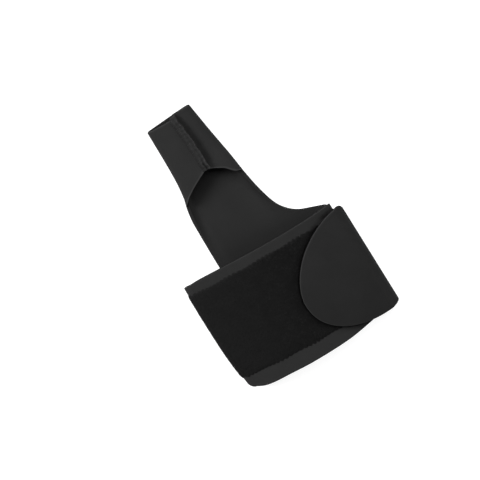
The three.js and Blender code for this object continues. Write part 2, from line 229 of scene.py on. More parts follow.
def even_shares(count):
    """Even shares after 0 and up to 1."""
    return np.linspace(0, 1, count + 1)[1:]


def ease(value, start, end):
    """0 before start and 1 after end, with level slopes at both."""
    t = np.clip((value - start) / (end - start), 0.0, 1.0)
    return t * t * (3 - 2 * t)


def quarter_circle(share):
    """The height of a quarter circle: 0 at its foot, 1 from a share of 1 onwards."""
    held = np.clip(share, 0.0, 1.0)
    return np.sqrt(held * (2 - held))


def follow(keys, values, place):
    """Cubic pieces through a table's rows, each row's slope being that between its neighbours."""
    last = len(keys) - 1
    at = np.clip(place, keys[0], keys[last])
    row = np.clip(np.searchsorted(keys, at, side="left") - 1, 0, last - 1)
    before = np.maximum(np.arange(last + 1) - 1, 0)
    after = np.minimum(np.arange(last + 1) + 1, last)
    slope = (values[after] - values[before]) / (keys[after] - keys[before])
    span = keys[row + 1] - keys[row]
    t = (at - keys[row]) / span
    stay = 2 * t**3 - 3 * t**2 + 1
    pull = (t**3 - 2 * t**2 + t) * slope[row] + (t**3 - t**2) * slope[row + 1]
    return stay * values[row] + (1 - stay) * values[row + 1] + span * pull


def ripple(u, v, lengths, seed):
    """A sum of plane waves with seeded directions and phases, between about -1 and 1."""
    rng = np.random.default_rng(seed)
    total = np.zeros(np.broadcast(u, v).shape)
    for length in lengths:
        angle, phase = rng.uniform(0, 2 * math.pi, 2)
        total = total + np.sin(2 * math.pi * (u * math.cos(angle) + v * math.sin(angle)) / length + phase)
    return total / len(lengths)


# Shape of the wrist cuff


def cuff_arcs(y):
    """The cuff's section at a height: circles tangent to one another. Strap and tab lie on two circles
    with one centre. The strap's goes round the left fold's circle and touches it, the tab's the right
    fold's, so that centre lies where the two radii that are left over meet."""
    fall = np.maximum(0.0, -y / CUFF_HEIGHT)
    left = LEFT_FOLD_LEAN * fall**LEFT_FOLD_BOW + HALF + LEFT_FOLD_RADIUS
    right = CUFF_WIDTH + RIGHT_FOLD_LEAN * fall - HALF - RIGHT_FOLD_RADIUS
    left_z = HALF + LEFT_FOLD_RADIUS
    right_z = HALF + RIGHT_FOLD_RADIUS
    tab_radius = CROWN_RADIUS + TAB_LIFT
    to_left = CROWN_RADIUS - LEFT_FOLD_RADIUS
    to_right = tab_radius - RIGHT_FOLD_RADIUS
    apart = np.hypot(right - left, right_z - left_z)
    ahead = (to_left**2 - to_right**2 + apart**2) / (2 * apart)
    below = np.sqrt(to_left**2 - ahead**2)
    ex, ez = (right - left) / apart, (right_z - left_z) / apart
    crown_x = left + ex * ahead + ez * below
    crown_z = left_z + ez * ahead - ex * below
    strap_from = np.arccos((CUFF_WIDTH - STRAP_END_INSET - crown_x) / CROWN_RADIUS)
    strap_to = np.arctan2(left_z - crown_z, left - crown_x)
    tab_from = np.arctan2(right_z - crown_z, right - crown_x)
    tab_to = np.arccos((CUFF_WIDTH - TAB_REACH - crown_x) / tab_radius)
    down = 3 * QUARTER_TURN
    return {
        "strap": (crown_x, crown_z, CROWN_RADIUS, strap_from, strap_to),
        "left_fold": (left, left_z, LEFT_FOLD_RADIUS, strap_to, down),
        "right_fold": (right, right_z, RIGHT_FOLD_RADIUS, down, tab_from + 4 * QUARTER_TURN),
        "tab": (crown_x, crown_z, tab_radius, tab_from, tab_to),
        "back_wall": (None, None, None, left, SLEEVE_INSET),
        "sleeve_root": (None, None, None, SLEEVE_INSET, right),
    }


MIDDLE_ARCS = cuff_arcs(np.array(MIDDLE_Y))


def run_of(stretch):
    """A stretch's length at the cuff's middle height: its radius times its turn, or its straight run."""
    _, _, radius, start, end = MIDDLE_ARCS[stretch]
    return float((end - start) * (1.0 if radius is None else radius))


STRAP_RUN = run_of("strap")


def cuff_point(stretch, share, y, lift):
    """A place in the cuff: share runs along the stretch's arc or straight line at the height y."""
    centre_x, centre_z, radius, start, end = cuff_arcs(y)[stretch]
    along = lerp(start, end, share)
    if radius is None:
        return joined(along, y, HALF - lift)
    reach = radius + lift
    x = centre_x + reach * np.cos(along)
    z = centre_z + reach * np.sin(along)
    return joined(x, y, z)


def middle_x(stretch, share):
    """Distance across the cuff at its middle height, for shares of a stretch."""
    return cuff_point(stretch, share, np.full_like(share, MIDDLE_Y), 0.0)[..., 0]


def tab_half(x, full_half, power, inset):
    """Half of the tab's height at a distance across, a superellipse with a blunt tip."""
    reach = TAB_REACH - TAB_ROOT_INSET - inset
    out = np.clip((CUFF_WIDTH - TAB_ROOT_INSET - x) / reach, 0.0, 1.0)
    blunt = TAB_TIP_BLUNT / (full_half - inset)
    return (full_half - inset) * np.maximum((1 - out**power) ** (1 / power), blunt)


def tab_rims(x, inset):
    """The tab's lower and upper height at a distance across, drawn smaller by an inset."""
    lower = -TAB_TIP_DROP - tab_half(x, TAB_LOWER_HALF, TAB_LOWER_POWER, inset)
    return lower, -TAB_TIP_DROP + tab_half(x, TAB_UPPER_HALF, TAB_UPPER_POWER, inset)


def cuff_rims(stretch, share):
    """The cut's lower and upper height at shares of one stretch."""
    x = middle_x(stretch, share)
    across = x / CUFF_WIDTH
    bottom = -CUFF_HEIGHT - RIGHT_FOLD_SKEW * np.clip(across, 0.0, 1.0)
    if stretch == "strap":
        lower = -CUFF_HEIGHT * (1 + follow(STRAP_ACROSS, STRAP_LOWER, across))
        return lower, CUFF_HEIGHT * follow(STRAP_ACROSS, STRAP_UPPER, across)
    if stretch == "left_fold":
        strap_lower, strap_upper = cuff_rims("strap", np.ones(1))
        lower = lerp(strap_lower, -CUFF_HEIGHT, ease(share, 0.0, LOWER_RIM_MEETS))
        return lower, lerp(strap_upper, -SLEEVE_ROOT_DROP, ease(share, UPPER_RIM_LEAVES, 1.0))
    if stretch == "right_fold":
        dip = FOLD_RIM_DIP * follow(FOLD_ALONG, FOLD_DIP, share)
        upper = lerp(SHOULDER_RISE, -TAB_TOP_DROP, share) - dip
        return bottom + FOLD_RIM_RISE * np.sin(math.pi * share), upper
    if stretch == "tab":
        return tab_rims(x, 0.0)
    shoulder = share if stretch == "sleeve_root" else np.zeros_like(share)
    return bottom, lerp(-SLEEVE_ROOT_DROP, SHOULDER_RISE, shoulder)


# Shape of the thumb sleeve


def sinc(angle):
    """sin(angle) / angle, which is 1 where nothing turns."""
    return np.sinc(angle / math.pi)


def sleeve_side(up, outer, ridge_x, ridge_z, lip):
    """One side of the sleeve's section: it bends evenly over its turning length, then runs straight.
    Below the arch it is a margin that curls up; in the roll it ends at the ridge or at the arch's lip."""
    radius = SLEEVE_FOLD_RADIUS * follow(TUBE_UP, TUBE_FOLD, up)
    inwards = np.sign(ridge_x - outer)
    margin = SLEEVE_FOLD_RADIUS * QUARTER_TURN
    curl = QUARTER_TURN * ease(up, CURL_START, ARCH_FOOT)
    low_start = outer + inwards * (HALF * np.sin(curl) + margin * sinc(curl))
    centre = outer + inwards * (HALF + radius)
    across = np.abs(ridge_x - centre) - FLAP_END_INSET
    rise = ridge_z - HALF - radius
    reach = np.hypot(across, rise)
    slope = np.arctan2(rise, across) - np.arcsin(np.clip(radius / reach, -1.0, 1.0))
    turning = radius * (2 * QUARTER_TURN - slope)
    closed = turning + np.sqrt(np.maximum(reach**2 - radius**2, 0.0))
    met = follow(LIP_OPENED, lip, (up - ARCH_FOOT) / (ARCH_TOP - ARCH_FOOT))
    length = lerp(radius * QUARTER_TURN, closed, met)
    low = up < ARCH_FOOT
    return {
        "inwards": inwards,
        "start": np.where(low, low_start, centre),
        "bend": np.where(low, curl / margin, 1 / radius),
        "turning": np.where(low, margin, turning),
        "knee": np.where(low, KNEE_SHARE * margin, np.minimum(turning, KNEE_SHARE * length)),
        "length": np.where(low, margin, length),
    }


def sleeve_section(up):
    """The sleeve's section at shares of its height, with its outer edges and its two sides."""
    mouth_right = SLEEVE_INSET + SLEEVE_LEAN + MOUTH_WIDTH
    root_right = cuff_point("sleeve_root", 1.0, SHOULDER_RISE, 0.0)[0]
    left = SLEEVE_INSET + SLEEVE_LEAN * follow(LEFT_UP, LEFT_LEAN, up)
    right = lerp(mouth_right, root_right, follow(RIGHT_UP, RIGHT_FLARE, up))
    ridge_x = lerp(left, right, follow(TUBE_UP, TUBE_RIDGE, up))
    left_top = RIDGE_HEIGHT * follow(TUBE_UP, TUBE_LEFT, up)
    right_top = RIDGE_HEIGHT * follow(TUBE_UP, TUBE_RIGHT, up)
    return {
        "up": up,
        "left": left,
        "right": right,
        "left_y": lerp(-SLEEVE_ROOT_DROP, MOUTH_HEIGHT, up),
        "right_y": lerp(SHOULDER_RISE, MOUTH_HEIGHT + MOUTH_SKEW, up),
        "left_side": sleeve_side(up, left, ridge_x, left_top, LIP_LEFT),
        "right_side": sleeve_side(up, right, ridge_x, right_top, LIP_RIGHT),
    }


def sleeve_point(section, name, distance, lift):
    """A place in the sleeve at a distance along one side: an arc of even bend, then a straight line.
    The height is shared out across the sleeve, and at the mouth the right flap reaches further, the
    left fold a little too, and the left flap falls back."""
    side = section[name]
    bent = np.clip(distance, 0.0, side["turning"])
    turn = side["bend"] * bent
    chord = bent * sinc(turn / 2)
    straight = distance - bent
    out = chord * np.cos(turn / 2) + straight * np.cos(turn)
    rise = chord * np.sin(turn / 2) + straight * np.sin(turn)
    x = side["start"] - side["inwards"] * (out + lift * np.sin(turn))
    z = HALF + rise - lift * np.cos(turn)
    across = (x - section["left"]) / (section["right"] - section["left"])
    flap = ease(distance, 0.0, side["length"])
    if name == "right_side":
        reach = RIGHT_FLAP_REACH * flap
    else:
        fold = ease(distance, 0.0, side["turning"])
        reach = LEFT_FOLD_REACH * fold - (LEFT_FOLD_REACH + LEFT_FLAP_RECESS) * flap * fold
    y = lerp(section["left_y"], section["right_y"], across) + reach * ease(section["up"], ARCH_TOP, 1.0)
    return joined(x, y, z)


def side_lines(side):
    """Distances of the mesh's lines from one cut edge down to the flat: close together at the edge."""
    room = side["length"] - side["knee"]
    steps = RIM_STEPS[None] * np.minimum(1.0, room / (2 * RIM_STEPS[-1]))
    edge = side["length"] - steps
    middle = lerp(edge[:, -1:], side["knee"], even_shares(SIDE_LINES)[None])
    bend = lerp(side["knee"], 0.0, even_shares(BEND_LINES)[None])
    return np.concatenate([edge, middle, bend], axis=1)


# Meshes


def grid_cells(numbers):
    """Quads of a grid of point numbers, anticlockwise from outside."""
    corners = numbers[:-1, :-1], numbers[:-1, 1:], numbers[1:, 1:], numbers[1:, :-1]
    return np.stack(corners, axis=-1).reshape(-1, 4)


def lone_edges(cells):
    """The edges that only one cell has, in that cell's direction."""
    starts = cells.reshape(-1)
    ends = np.roll(cells, -1, axis=1).reshape(-1)
    count = cells.max() + 1
    lone = ~np.isin(starts * count + ends, ends * count + starts)
    return np.stack([starts[lone], ends[lone]], axis=1)


def distance_to_edges(points, edges, middle):
    """Each point's least distance to the segments of the cut edge: the foot on each segment is the
    projection, held within its two ends."""
    start = middle[edges[:, 0]]
    run = middle[edges[:, 1]] - start
    squared = np.maximum((run**2).sum(axis=1), 1e-12)
    nearest = np.empty(len(points))
    for first in range(0, len(points), BATCH):
        away = points[first:first + BATCH, None, :] - start[None]
        share = np.clip((away * run[None]).sum(axis=2) / squared, 0.0, 1.0)
        off = away - share[..., None] * run[None]
        nearest[first:first + BATCH] = np.sqrt((off**2).sum(axis=2).min(axis=1))
    return nearest


def two_faced(outer, inner, cells):
    """Both faces' cells, and a wall of three bands between them along the lone edges. Also gives the
    grid point that each point comes from, and 1 for a point inside the wall."""
    count = len(outer)
    edges = lone_edges(cells)
    ring = np.unique(edges)
    on_ring = np.zeros(count, dtype=int)
    on_ring[ring] = np.arange(len(ring))
    upper = 2 * count + on_ring[edges]
    levels = [edges, upper, upper + len(ring), edges + count]
    bands = [
        np.stack([above[:, 1], above[:, 0], below[:, 0], below[:, 1]], axis=1)
        for above, below in zip(levels[:-1], levels[1:])
    ]
    high = lerp(outer[ring], inner[ring], WALL_BAND)
    low = lerp(inner[ring], outer[ring], WALL_BAND)
    origin = np.concatenate([np.arange(count), np.arange(count), ring, ring])
    core = np.concatenate([np.zeros(2 * count), np.ones(2 * len(ring))])
    faces = np.concatenate([cells, cells[:, ::-1] + count, *bands])
    return np.concatenate([outer, inner, high, low]), faces, origin, core


def add_object(name, data):
    """A new object in the scene, which shows its data."""
    added = bpy.data.objects.new(name, data)
    bpy.context.scene.collection.objects.link(added)
    return added


def make_piece(name, points, faces, finish, cut=None, marks=None, smooth_angle=math.radians(60)):
    """An object in the part's frame from points in millimetres, with its UV map and point attributes."""
    mesh = bpy.data.meshes.new(name)
    placed = (np.asarray(points, dtype=float).reshape(-1, 3) + SHIFT) * MM
    mesh.from_pydata(placed.tolist(), [], faces.tolist() if isinstance(faces, np.ndarray) else faces)
    mesh.polygons.foreach_set("use_smooth", np.ones(len(mesh.polygons), dtype=bool))
    if cut is not None:
        corner = np.empty(len(mesh.loops), dtype=np.int32)
        mesh.loops.foreach_get("vertex_index", corner)
        layer = mesh.uv_layers.new(name="cut")
        layer.data.foreach_set("uv", np.asarray(cut, dtype=np.float32)[corner].reshape(-1))
    for mark, values in (marks or {}).items():
        attribute = mesh.attributes.new(mark, "FLOAT", "POINT")
        attribute.data.foreach_set("value", np.asarray(values, dtype=np.float32))
    mesh.validate()
    mesh.update()
    if smooth_angle:
        mesh.set_sharp_from_angle(angle=smooth_angle)
    piece = add_object(name, mesh)
    mesh.materials.append(finish)
    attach(piece, "root")
    return piece


def tubes(paths, radius, sides, closed_ends=True):
    """Round threads along many paths at once. Each ring stands square to its path: the two ring
    directions are the tangent crossed with an upright helper and with the result."""
    count, rings, _ = paths.shape
    tangent = np.gradient(paths, axis=1)
    tangent /= np.linalg.norm(tangent, axis=2, keepdims=True) + 1e-9
    helper = np.zeros_like(tangent)
    flat = np.abs(tangent[..., 2]) < 0.8
    helper[..., 2] = flat
    helper[..., 0] = ~flat
    first = np.cross(tangent, helper)
    first /= np.linalg.norm(first, axis=2, keepdims=True) + 1e-9
    second = np.cross(tangent, first)
    angle = np.linspace(0, 2 * math.pi, sides, endpoint=False)
    ring = np.cos(angle)[:, None] * first[:, :, None, :] + np.sin(angle)[:, None] * second[:, :, None, :]
    points = paths[:, :, None, :] + radius * ring
    numbers = np.arange(count * rings * sides).reshape(count, rings, sides)
    a, b = numbers[:, :-1], numbers[:, 1:]
    quads = np.stack([a, np.roll(a, -1, axis=2), np.roll(b, -1, axis=2), b], axis=-1).reshape(-1, 4)
    faces = quads.tolist()
    if closed_ends:
        faces += numbers[:, 0, ::-1].tolist() + numbers[:, -1].tolist()
    return points.reshape(-1, 3), faces


# Cloths, thread and paper


class Signal:
    """A shader socket that stands in a Python expression; each operator adds one Math node."""

    def __init__(self, tree, socket):
        self.tree = tree
        self.socket = socket

    def math(self, operation, *others):
        """A Math node whose first input is this signal."""
        node = self.tree.nodes.new("ShaderNodeMath")
        node.operation = operation
        for place, value in enumerate((self, *others)):
            if isinstance(value, Signal):
                self.tree.links.new(value.socket, node.inputs[place])
            else:
                node.inputs[place].default_value = value
        return Signal(self.tree, node.outputs[0])

    def __add__(self, other):
        return self.math("ADD", other)

    def __mul__(self, other):
        return self.math("MULTIPLY", other)

    def __sub__(self, other):
        return self.math("SUBTRACT", other)

    def __rsub__(self, other):
        return self.math("MULTIPLY_ADD", -1.0, other)

    def __truediv__(self, other):
        return self.math("DIVIDE", other)

    __radd__ = __add__
    __rmul__ = __mul__


class Finish:
    """A material being made: its shader, and one method that adds any node."""

    def __init__(self, name, values):
        self.material = bpy.data.materials.new(name)
        self.material.use_nodes = True
        self.tree = self.material.node_tree
        self.shader = self.tree.nodes["Principled BSDF"]
        for socket, value in values.items():
            self.shader.inputs[socket].default_value = value

    def node(self, kind, settings=None, inputs=None, output=0):
        """A node of any kind: its settings first, then the values or links of its sockets."""
        node = self.tree.nodes.new(kind)
        for name, value in (settings or {}).items():
            setattr(node, name, value)
        for place, value in (inputs or {}).items():
            if isinstance(value, Signal):
                self.tree.links.new(value.socket, node.inputs[place])
            else:
                node.inputs[place].default_value = value
        return Signal(self.tree, node.outputs[output])

    def feed(self, socket, signal):
        """Links a signal to one of the shader's sockets."""
        self.tree.links.new(signal.socket, self.shader.inputs[socket])

    def cut(self):
        """The place on the cloth as it was cut, in millimetres."""
        return self.node("ShaderNodeUVMap", {"uv_map": "cut"})

    def cut_axes(self):
        """Distances in millimetres across and along the cloth as it was cut."""
        across = self.node("ShaderNodeSeparateXYZ", {}, {0: self.cut()})
        return across, Signal(self.tree, across.socket.node.outputs[1])

    def mark(self, name):
        """A point attribute of the mesh."""
        return self.node("ShaderNodeAttribute", {"attribute_name": name}, output=2)

    def noise(self, vector, scale, detail=2.0, roughness=0.5):
        """Fractal noise about 0.5 at a number of features a unit of the vector."""
        inputs = {"Vector": vector, "Scale": scale, "Detail": detail, "Roughness": roughness}
        return self.node("ShaderNodeTexNoise", {}, inputs)

    def blend(self, factor, first, second):
        """A colour between two, by a factor."""
        return self.node("ShaderNodeMix", {"data_type": "RGBA"}, {0: factor, 6: first, 7: second}, output=2)

    def dyed(self, factor, level, dark, pale):
        """A grey between a dark and a pale share of its level, by a factor."""
        return self.blend(factor, grey(level * dark), grey(level * pale))

    def bump(self, height, strength, distance, under=None):
        """A Bump node, on top of another one where given."""
        inputs = {"Strength": strength, "Distance": distance, "Height": height}
        if under is not None:
            inputs["Normal"] = under
        return self.node("ShaderNodeBump", {}, inputs)


def grey(level):
    """A neutral colour from a linear grey level."""
    return (level, level, level, 1.0)


def jersey_finish(name, level, rim_level):
    """Knitted jersey on foam: wales of small V stitches, faint mottling, painted light and shade from
    the shade mark, a paler cut edge topped up with painted highlight, and a dark cut wall that is
    partly painted shade.
    """
    finish = Finish(name, {"Roughness": 0.86, "Specular IOR Level": 0.08})
    uv = finish.cut()
    across, along = finish.cut_axes()
    wale = across / WALE
    aside = (wale.math("FRACT") - 0.5).math("ABSOLUTE")
    course = (along / COURSE + aside * 1.1).math("FRACT")
    stitch = (course - 0.5).math("ABSOLUTE") * 2.0
    rib = 1.0 - aside * 2.0
    knit = rib * 0.6 + stitch * rib * 0.4
    mottle = finish.noise(uv, 0.055, 3.0, 0.6)
    fleck = finish.noise(uv, 1.7, 2.0, 0.6)
    shade = mottle * 0.7 + fleck * 0.3
    # Painted light and shade: the shade mark makes the mottled cloth paler or darker
    colouring = shade * 0.5 + finish.mark("shade") - 0.25
    body = finish.dyed(colouring, level, 0.62, 1.38)
    # Painted highlight along the cut edge, partly a paler cut edge
    rim = finish.mark("rim")
    foam = finish.noise(uv, 2.6, 2.0, 0.7)
    edge = finish.dyed(foam, rim_level, 0.7, 1.35)
    skin = finish.blend(rim, body, edge)
    # Dark foam core on the cut wall, partly painted shade, and painted contact shadow beside the tab
    finish.feed("Base Color", finish.blend(finish.mark("core"), skin, grey(level * 0.13)))
    finish.feed("Roughness", 0.8 + fleck * 0.14)
    soft = finish.bump(mottle, 0.25, 0.0006)
    finish.feed("Normal", finish.bump(knit, 0.35, 0.00012, soft))
    return finish.material


def loop_finish(name, level):
    """Brushed loop fabric: matted woolly clumps over a darker ground, painted paler towards the left
    fold and darker towards the strap's end, with a painted contact shadow along the tab's edge.
    """
    finish = Finish(name, {"Roughness": 0.95, "Specular IOR Level": 0.04})
    uv = finish.cut()
    wool = finish.noise(uv, 0.9, 4.0, 0.7)
    matting = finish.noise(uv, 0.14, 2.0, 0.6)
    cells = {"feature": "DISTANCE_TO_EDGE"}
    strands = finish.node("ShaderNodeTexVoronoi", cells, {"Vector": uv, "Scale": 1.3})
    stray = 1.0 - (finish.noise(uv, 0.5, 1.0) - 0.5).math("ABSOLUTE") * TUFT_NARROWNESS
    # Painted light and shade from the shade mark, which also sets how many tufts show
    painted_light = finish.mark("shade")
    matted = (matting - 0.44).math("MAXIMUM", 0.0)
    tuft = stray.math("MAXIMUM", 0.0) * matted * (1.6 - painted_light) * TUFT_LIGHT
    clump = wool * 0.4 + matting * 0.2 + painted_light * 0.4 + tuft
    rim = finish.mark("rim")
    body = finish.dyed(clump, level, 0.62, 1.38)
    worn = finish.blend(rim * 0.5, body, grey(level * 1.6))
    # Painted contact shadow along the tab's edge
    finish.feed("Base Color", finish.blend(finish.mark("tab_shadow"), worn, grey(level * 0.1)))
    rough = finish.bump(strands, 0.4, 0.00025)
    finish.feed("Normal", finish.bump(wool, 0.6, 0.0004, rough))
    return finish.material


def hook_finish(name, level):
    """Moulded hook tape: a smooth nylon ground with rows of small hooks."""
    finish = Finish(name, {"Roughness": 0.5})
    across, along = finish.cut_axes()
    row = ((across / HOOK_ROW).math("FRACT") - 0.5).math("ABSOLUTE")
    step = ((along / HOOK_STEP).math("FRACT") - 0.5).math("ABSOLUTE")
    dot = 1.0 - (row + step)
    wear = finish.noise(finish.cut(), 0.3, 2.0)
    finish.feed("Base Color", finish.dyed(wear, level, 0.8, 1.25))
    finish.feed("Roughness", 0.42 + wear * 0.2)
    finish.feed("Normal", finish.bump(dot, 0.7, 0.0003))
    return finish.material


def thread_finish(name, level):
    """Twisted sewing thread: fine slanting plies and uneven dye."""
    finish = Finish(name, {"Roughness": 0.62, "Specular IOR Level": 0.2})
    place = finish.node("ShaderNodeTexCoord", {}, {}, output=3)
    slanting = {"wave_type": "BANDS", "bands_direction": "DIAGONAL"}
    ply = {"Vector": place, "Scale": 900.0, "Distortion": 1.0}
    plies = finish.node("ShaderNodeTexWave", slanting, ply, output=1)
    colouring = finish.noise(place, 260.0, 3.0, 0.6)
    finish.feed("Base Color", finish.dyed(colouring, level, 0.6, 1.6))
    finish.feed("Normal", finish.bump(plies, 0.5, 0.00006))
    return finish.material


def floor_finish(name, level):
    """Matt white paper with a barely uneven surface, lit a little from below as on a light table."""
    glow = {"Emission Strength": 0.8, "Emission Color": WHITE}
    finish = Finish(name, {"Roughness": 0.9, "Specular IOR Level": 0.1, **glow})
    place = finish.node("ShaderNodeTexCoord", {}, {}, output=3)
    grain = finish.noise(place, 40.0, 3.0)
    finish.feed("Base Color", finish.dyed(grain, level, 0.985, 1.0))
    return finish.material


JERSEY = jersey_finish("charcoal_jersey", 0.0152, 0.032)
LOOPS = loop_finish("brushed_loop", 0.0062)
HOOKS = hook_finish("nylon_hook", 0.02)
THREAD = thread_finish("grey_thread", 0.0165)
PAPER = floor_finish("white_paper", 0.42)

# Brace sheet


def between_rims(low, high, count):
    """Heights of the mesh's lines between two cut edges, close together at both. The steps shrink
    where the strip is narrow."""
    room = (high - low)[:, None]
    steps = RIM_STEPS[None] * np.minimum(1.0, room / (4 * RIM_STEPS[-1]))
    first = low[:, None] + steps
    last = high[:, None] - steps[:, ::-1]
    middle = lerp(first[:, -1:], last[:, :1], np.linspace(0, 1, count + 2)[None, 1:-1])
    return np.concatenate([first, middle, last], axis=1)


def cuff_grid(columns, heights, lifts):
    """The places of a grid over the cuff: each stretch has its shares, heights and lifts."""
    parts = []
    start = 0
    for (stretch, shares), height in zip(columns, heights):
        lift = lifts[start:start + height.size].reshape(height.shape)
        parts.append(cuff_point(stretch, shares[:, None], height, lift).reshape(-1, 3))
        start += height.size
    return np.concatenate(parts)


def sleeve_columns(section):
    """The sleeve's lines in each section from the left cut edge round to the right one, as distances
    along the left side and along the right. The flat bottom counts as the left side's, below 0."""
    left, right = section["left_side"], section["right_side"]
    flat = right["start"] - left["start"]
    left_lines = np.concatenate([side_lines(left), -flat * even_shares(FLAT_LINES)[None]], axis=1)
    return left_lines, side_lines(right)[:, ::-1][:, 1:]


def root_shares():
    """Shares of the sleeve's root at which the sleeve's lines start."""
    root = sleeve_section(np.zeros((1, 1)))
    sides = zip(("left_side", "right_side"), sleeve_columns(root))
    x = np.concatenate([sleeve_point(root, side, lines, 0.0)[0, :, 0] for side, lines in sides])
    return (x - root["left"][0, 0]) / (root["right"] - root["left"])[0, 0]


def cuff_columns():
    """The cuff's stretches from the strap's end to the tab's tip, with the shares at their lines."""
    rim = RIM_STEPS / run_of("strap")
    return [
        ("strap", np.concatenate([rim, lerp(rim[-1], 1.0, even_shares(59))])),
        ("left_fold", even_shares(24)),
        ("back_wall", even_shares(6)),
        ("sleeve_root", root_shares()[1:]),
        ("right_fold", even_shares(30)),
        ("tab", np.sin(QUARTER_TURN * even_shares(49))),
    ]


def sleeve_rows():
    """Shares of the sleeve's height at its lines, close together at its root and its mouth."""
    rim = RIM_STEPS[::-1] / MOUTH_HEIGHT
    return np.concatenate([
        ARCH_FOOT * even_shares(65) ** 1.5,
        lerp(ARCH_FOOT, ARCH_TOP, even_shares(43)),
        lerp(ARCH_TOP, 1 - rim[0], even_shares(33)),
        1 - rim[1:],
    ])[:, None]


class BraceGrid:
    """The die-cut sheet as one grid: the cuff's columns of lines, and above the sleeve's root the
    sleeve's own rows up to the mouth. Every value has the cuff's points first, then the sleeve's."""

    def __init__(self):
        self.columns = cuff_columns()
        self.heights = [between_rims(*cuff_rims(name, shares), 24) for name, shares in self.columns]
        self.up = sleeve_rows()
        self.section = sleeve_section(self.up)
        self.left, self.right = sleeve_columns(self.section)
        self.wide = self.left.shape[1] + self.right.shape[1]
        self.in_cuff = sum(height.size for height in self.heights)
        self.count = self.in_cuff + len(self.up) * self.wide
        self.rolled = np.concatenate([np.clip(self.left, 0, None), self.right], axis=1)
        self.from_ridge = np.concatenate([
            np.broadcast_to(self.section["left_side"]["length"], self.left.shape),
            np.broadcast_to(self.section["right_side"]["length"], self.right.shape),
        ], axis=1) - self.rolled
        self.cells = self.number_cells()

    def number_cells(self):
        """The cuff's cells and the sleeve's, which share the points along the sleeve's root."""
        lines = sum(len(shares) for _, shares in self.columns)
        cuff = np.arange(self.in_cuff).reshape(lines, -1)
        sleeve = np.arange(self.in_cuff, self.count).reshape(-1, self.wide)
        before = sum(len(shares) for _, shares in self.columns[:3]) - 1
        shared = cuff[before:before + self.wide, -1]
        return np.concatenate([grid_cells(cuff), grid_cells(np.concatenate([shared[None], sleeve]).T)])

    def place(self, lift):
        """Every point for a lift, which is one for all or one for each."""
        lifts = np.broadcast_to(lift, (self.count,))
        rolled = lifts[self.in_cuff:].reshape(-1, self.wide)
        cut = self.left.shape[1]
        sleeve = np.concatenate([
            sleeve_point(self.section, "left_side", self.left, rolled[:, :cut]),
            sleeve_point(self.section, "right_side", self.right, rolled[:, cut:]),
        ], axis=1)
        return np.concatenate([cuff_grid(self.columns, self.heights, lifts), sleeve.reshape(-1, 3)])

    def join(self, of_stretch, sleeve):
        """One value a point: a formula of the stretch, share and height for the cuff's points, and
        the sleeve's value for its own."""
        parts = [
            np.broadcast_to(of_stretch(name, shares[:, None], height), height.shape).reshape(-1)
            for (name, shares), height in zip(self.columns, self.heights)
        ]
        return np.concatenate([*parts, np.broadcast_to(sleeve, self.rolled.shape).reshape(-1)])

    def cut(self):
        """Places on the flat cut, across and along. Each stretch goes on where the last one ends, and
        the back wall starts where the left fold's centre is."""
        names = [name for name, _ in self.columns]
        ends = np.cumsum([run_of(name) for name in names])
        ends += MIDDLE_ARCS["back_wall"][3] - ends[1]
        last = dict(zip(names, ends))
        u = np.concatenate([
            self.section["left_side"]["start"] - self.left,
            self.section["right_side"]["start"] + self.right,
        ], axis=1)
        across = self.join(lambda name, share, height: last[name] - run_of(name) * (1 - share), u)
        along = self.join(lambda name, share, height: height, self.section["left_y"])
        return joined(across, along)

    def hollow(self):
        """Depth of the soft hollow on each side of the ridge: a bell over the distance from it."""
        on_left = np.arange(self.wide)[None] < self.left.shape[1]
        depth = np.where(on_left, LEFT_HOLLOW * (1 - ease(self.up, 0.72, 0.9)), RIGHT_HOLLOW)
        middle = np.where(on_left, LEFT_HOLLOW_PLACE, RIGHT_HOLLOW_PLACE)
        bell = np.exp(-((self.from_ridge - middle) / (0.55 * middle)) ** 2)
        return self.join(lambda *_: 0.0, self.in_tube() * depth * bell)

    def in_tube(self):
        """1 where the sleeve is rolled up, 0 below the arch's top."""
        return ease(self.up, ARCH_TOP - 0.02, ARCH_TOP + 0.05)

    def at_arch(self):
        """1 along the arch's two lips."""
        return ease(self.up, 0.44, ARCH_FOOT) * (1 - ease(self.up, ARCH_TOP, 0.66))

    def edge_light(self):
        """Painted highlight on the cut edge, partly a paler cut edge: most along the arch, and more at
        the tab and mouth than elsewhere.
        """
        sleeve = 0.2 + 0.55 * self.at_arch() + 0.25 * ease(self.up, 0.9, 0.95)
        return self.join(lambda name, share, height: EDGE_LIGHT[name], sleeve)

    def colouring(self):
        """Painted light and shade on the cloth's face, by stretch for the cuff and by region for the
        sleeve.
        """
        return self.join(cuff_painted_shade, np.concatenate([self.left_painted_shade(), self.right_painted_shade()], axis=1))

    def panel_painted_shade(self):
        """Painted light and shade on the panel: paler from the strap upwards."""
        return lerp(0.22, 0.35, ease(self.up, 0.0, 0.3))

    def left_painted_shade(self):
        """Painted light and shade on the left side and panel: a painted shadow under the arch near the
        left fold, paler across from it.
        """
        rolled_up = ease(self.up, 0.38, ARCH_FOOT)
        from_left = -np.clip(self.left, None, 0.0)
        dark = 0.42 * ease(self.up, 0.40, 0.56) * (1 - ease(from_left, 7.0, 20.0))
        pale = 0.35 * ease(self.up, 0.46, 0.6) * ease(from_left, 10.0, 22.0)
        margin = 0.12 * ease(self.left, -1.5, 2.0) * (1 - rolled_up)
        far = PANEL_RIGHT_LIGHT * ease(self.up, 0.0, 0.2) * ease(from_left, 20.0, 38.0)
        flat = self.panel_painted_shade() - dark + pale + margin + far
        return lerp(flat, 0.40, rolled_up * ease(self.left, 1.0, 4.0))

